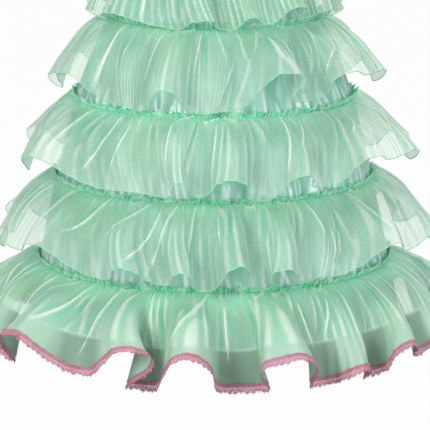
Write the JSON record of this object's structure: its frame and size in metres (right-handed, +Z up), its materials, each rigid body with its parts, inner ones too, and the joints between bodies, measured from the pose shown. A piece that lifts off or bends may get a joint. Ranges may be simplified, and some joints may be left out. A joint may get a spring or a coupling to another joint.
{
  "type": "southern belle costume",
  "caption": "Child's southern belle costume dress with a sleeveless bodice and a bell skirt of tiered gathered sheer ruffles, the lowest edged with scalloped lace.",
  "frame": {"origin": "between the undersides of the two shoulder straps, where the wearer's shoulders hold the dress up", "axes": "+Z up, -Y the dress's front, +X the wearer's left side"},
  "size_m": [0.7922, 0.8022, 0.9407],
  "materials": {
    "satin": "shiny woven satin",
    "organza": "crisp sheer woven organza with a shimmer",
    "lace": "matt crocheted cotton lace"
  },
  "bodies": {
    "root": {"bodice_front": "satin", "bodice_back_left": "satin", "bodice_back_right": "satin", "skirt_front": "satin", "skirt_back": "satin", "ruffle_1": "organza", "ruffle_2": "organza", "ruffle_3": "organza", "ruffle_4": "organza", "ruffle_5": "organza", "lace_edging": "lace"}
  },
  "joints": []
}
